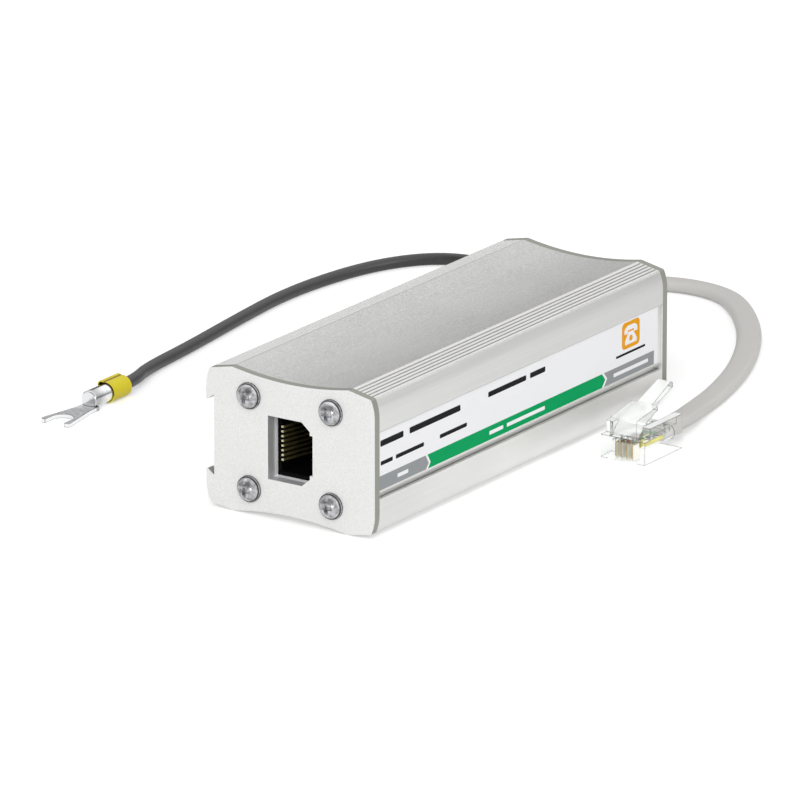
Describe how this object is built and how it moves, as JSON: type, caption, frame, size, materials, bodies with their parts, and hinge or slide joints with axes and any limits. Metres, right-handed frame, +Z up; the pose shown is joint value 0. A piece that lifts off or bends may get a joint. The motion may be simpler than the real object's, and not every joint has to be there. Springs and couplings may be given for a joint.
{
  "type": "telephone line surge protector",
  "caption": "Telephone line surge protector: extruded aluminium case with a modular socket in its front plate, a flat cable with a clear latch plug, and an earth wire with a fork terminal.",
  "frame": {"origin": "below the middle of the case, on the surface that it stands on", "axes": "+X along the case from the socket to the cables, +Y towards the rail slot side, -Y towards the label side, +Z up"},
  "size_m": [0.1622, 0.1131, 0.027],
  "materials": {
    "case_aluminium": "satin, fine extrusion lines along X",
    "end_plate_metal": "satin, bead blasted",
    "screw_metal": "bright nickel plate",
    "label_vinyl": "satin printed film",
    "board_laminate": "solder mask",
    "shield_metal": "tin plate",
    "socket_black": "matt",
    "contact_gold": "gold plate",
    "tube_ceramic": "matt, metal end caps",
    "resistor_lacquer": "lacquer",
    "diode_epoxy": "moulded",
    "core_insulation": "smooth",
    "cable_jacket": "satin",
    "wire_insulation": "satin",
    "grommet_rubber": "matt",
    "plug_clear": "clear moulded",
    "plug_gold": "gold plate",
    "core_red": "smooth",
    "core_green": "smooth",
    "core_yellow": "smooth",
    "core_black": "smooth",
    "terminal_tin": "bright tin plate",
    "sleeve_yellow": "satin"
  },
  "bodies": {
    "surge_protector": {"housing": "case_aluminium", "front_plate": "end_plate_metal", "rear_plate": "end_plate_metal", "front_screws": "screw_metal", "rear_screws": "screw_metal", "label": "label_vinyl", "circuit_board": "board_laminate", "socket_shield": "shield_metal", "socket_body": "socket_black", "socket_contact_1": "contact_gold", "socket_contact_2": "contact_gold", "socket_contact_3": "contact_gold", "socket_contact_4": "contact_gold", "socket_contact_5": "contact_gold", "socket_contact_6": "contact_gold", "socket_contact_7": "contact_gold", "socket_contact_8": "contact_gold", "gas_tube_1": "tube_ceramic", "gas_tube_2": "tube_ceramic", "series_resistor_1": "resistor_lacquer", "series_resistor_2": "resistor_lacquer", "series_resistor_3": "resistor_lacquer", "series_resistor_4": "resistor_lacquer", "clamp_diode_1": "diode_epoxy", "clamp_diode_2": "diode_epoxy", "clamp_diode_3": "diode_epoxy", "clamp_diode_4": "diode_epoxy", "cable_tail": "cable_jacket", "inner_cores": "core_insulation", "earth_tail": "wire_insulation", "cable_grommet": "grommet_rubber", "wire_grommet": "grommet_rubber", "flat_cable": "cable_jacket", "earth_wire": "wire_insulation", "plug_body": "plug_clear", "plug_blade_1": "plug_gold", "plug_blade_2": "plug_gold", "plug_blade_3": "plug_gold", "plug_blade_4": "plug_gold", "plug_core_1": "core_yellow", "plug_core_2": "core_green", "plug_core_3": "core_red", "plug_core_4": "core_black", "fork_terminal": "terminal_tin", "terminal_sleeve": "sleeve_yellow"},
    "plug_latch": {"plug_latch": "plug_clear"}
  },
  "joints": [
    {"name": "latch_hinge", "type": "hinge", "parent": "surge_protector", "child": "plug_latch", "pos_m": [0.01545, -0.02995, 0.00465], "axis": [0, 1, 0], "range_deg": [0, 16], "stiffness_Nm_per_rad": 0.001}
  ]
}
